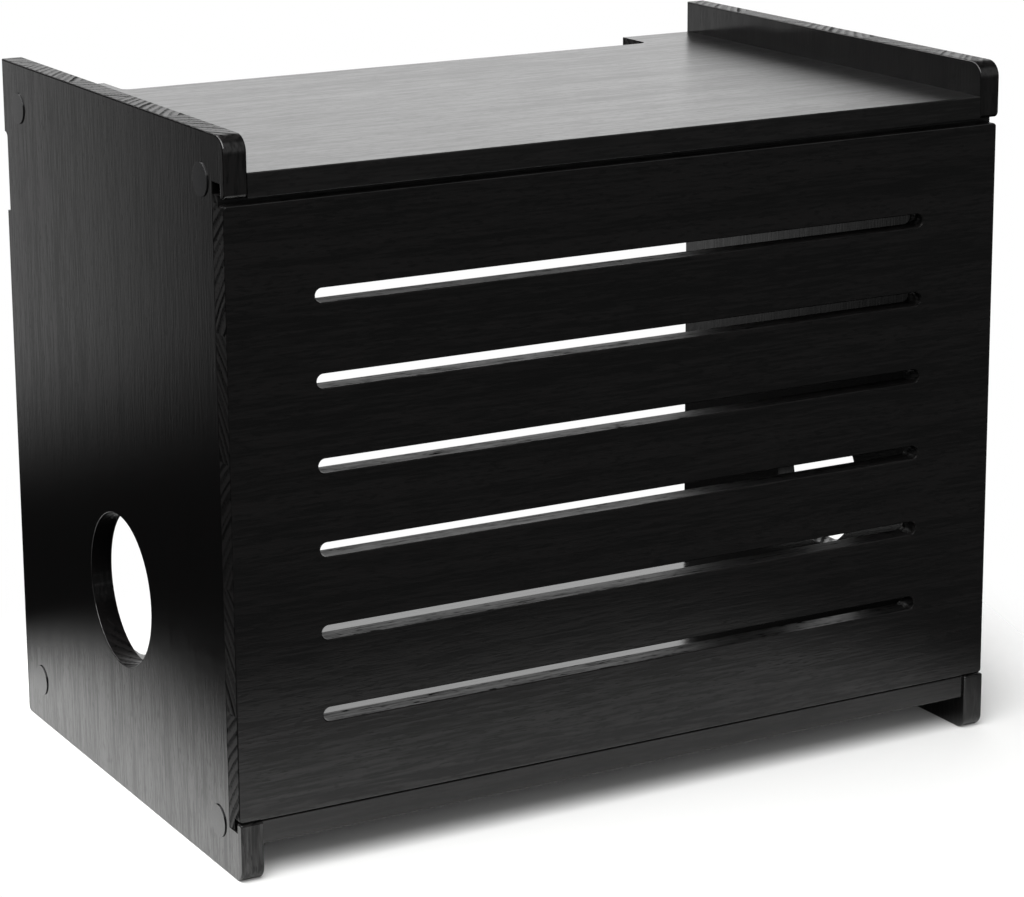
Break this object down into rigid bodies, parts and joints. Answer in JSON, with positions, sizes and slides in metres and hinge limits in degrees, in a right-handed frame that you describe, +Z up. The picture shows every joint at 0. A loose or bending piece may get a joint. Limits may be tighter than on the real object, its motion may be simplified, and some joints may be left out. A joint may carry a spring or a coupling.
{
  "type": "router storage box",
  "caption": "Open-backed wooden storage box for a network router, with a slotted sliding front panel, side cable holes, rear cable cut-outs and lipped sides.",
  "frame": {"origin": "on the floor, under the middle of the box's bounding box", "axes": "+Z up, +X along the width to the right seen from the front, +Y from the front to the open back"},
  "size_m": [0.371, 0.239, 0.306],
  "materials": {
    "black_stained_wood": "satin lacquer",
    "black_cap_plastic": "satin",
    "zinc_plated_steel": "zinc plated",
    "dowel_beech": "bare",
    "black_steel": "black zinc"
  },
  "bodies": {
    "carcass": {"top_board": "black_stained_wood", "bottom_board": "black_stained_wood", "left_side_panel": "black_stained_wood", "left_hanger_plate": "black_steel", "left_hanger_upper_screw": "black_steel", "left_hanger_lower_screw": "black_steel", "left_top_front_screw": "zinc_plated_steel", "left_top_front_cap": "black_cap_plastic", "left_top_front_dowel": "dowel_beech", "left_top_rear_screw": "zinc_plated_steel", "left_top_rear_cap": "black_cap_plastic", "left_top_rear_dowel": "dowel_beech", "left_bottom_front_screw": "zinc_plated_steel", "left_bottom_front_cap": "black_cap_plastic", "left_bottom_front_dowel": "dowel_beech", "left_bottom_rear_screw": "zinc_plated_steel", "left_bottom_rear_cap": "black_cap_plastic", "left_bottom_rear_dowel": "dowel_beech", "right_side_panel": "black_stained_wood", "right_hanger_plate": "black_steel", "right_hanger_upper_screw": "black_steel", "right_hanger_lower_screw": "black_steel", "right_top_front_screw": "zinc_plated_steel", "right_top_front_cap": "black_cap_plastic", "right_top_front_dowel": "dowel_beech", "right_top_rear_screw": "zinc_plated_steel", "right_top_rear_cap": "black_cap_plastic", "right_top_rear_dowel": "dowel_beech", "right_bottom_front_screw": "zinc_plated_steel", "right_bottom_front_cap": "black_cap_plastic", "right_bottom_front_dowel": "dowel_beech", "right_bottom_rear_screw": "zinc_plated_steel", "right_bottom_rear_cap": "black_cap_plastic", "right_bottom_rear_dowel": "dowel_beech"},
    "front_panel": {"front_panel": "black_stained_wood"}
  },
  "joints": [
    {"name": "front_panel_slide", "type": "slide", "parent": "carcass", "child": "front_panel", "axis": [1, 0, 0], "range_m": [-0.3, 0.3]}
  ]
}
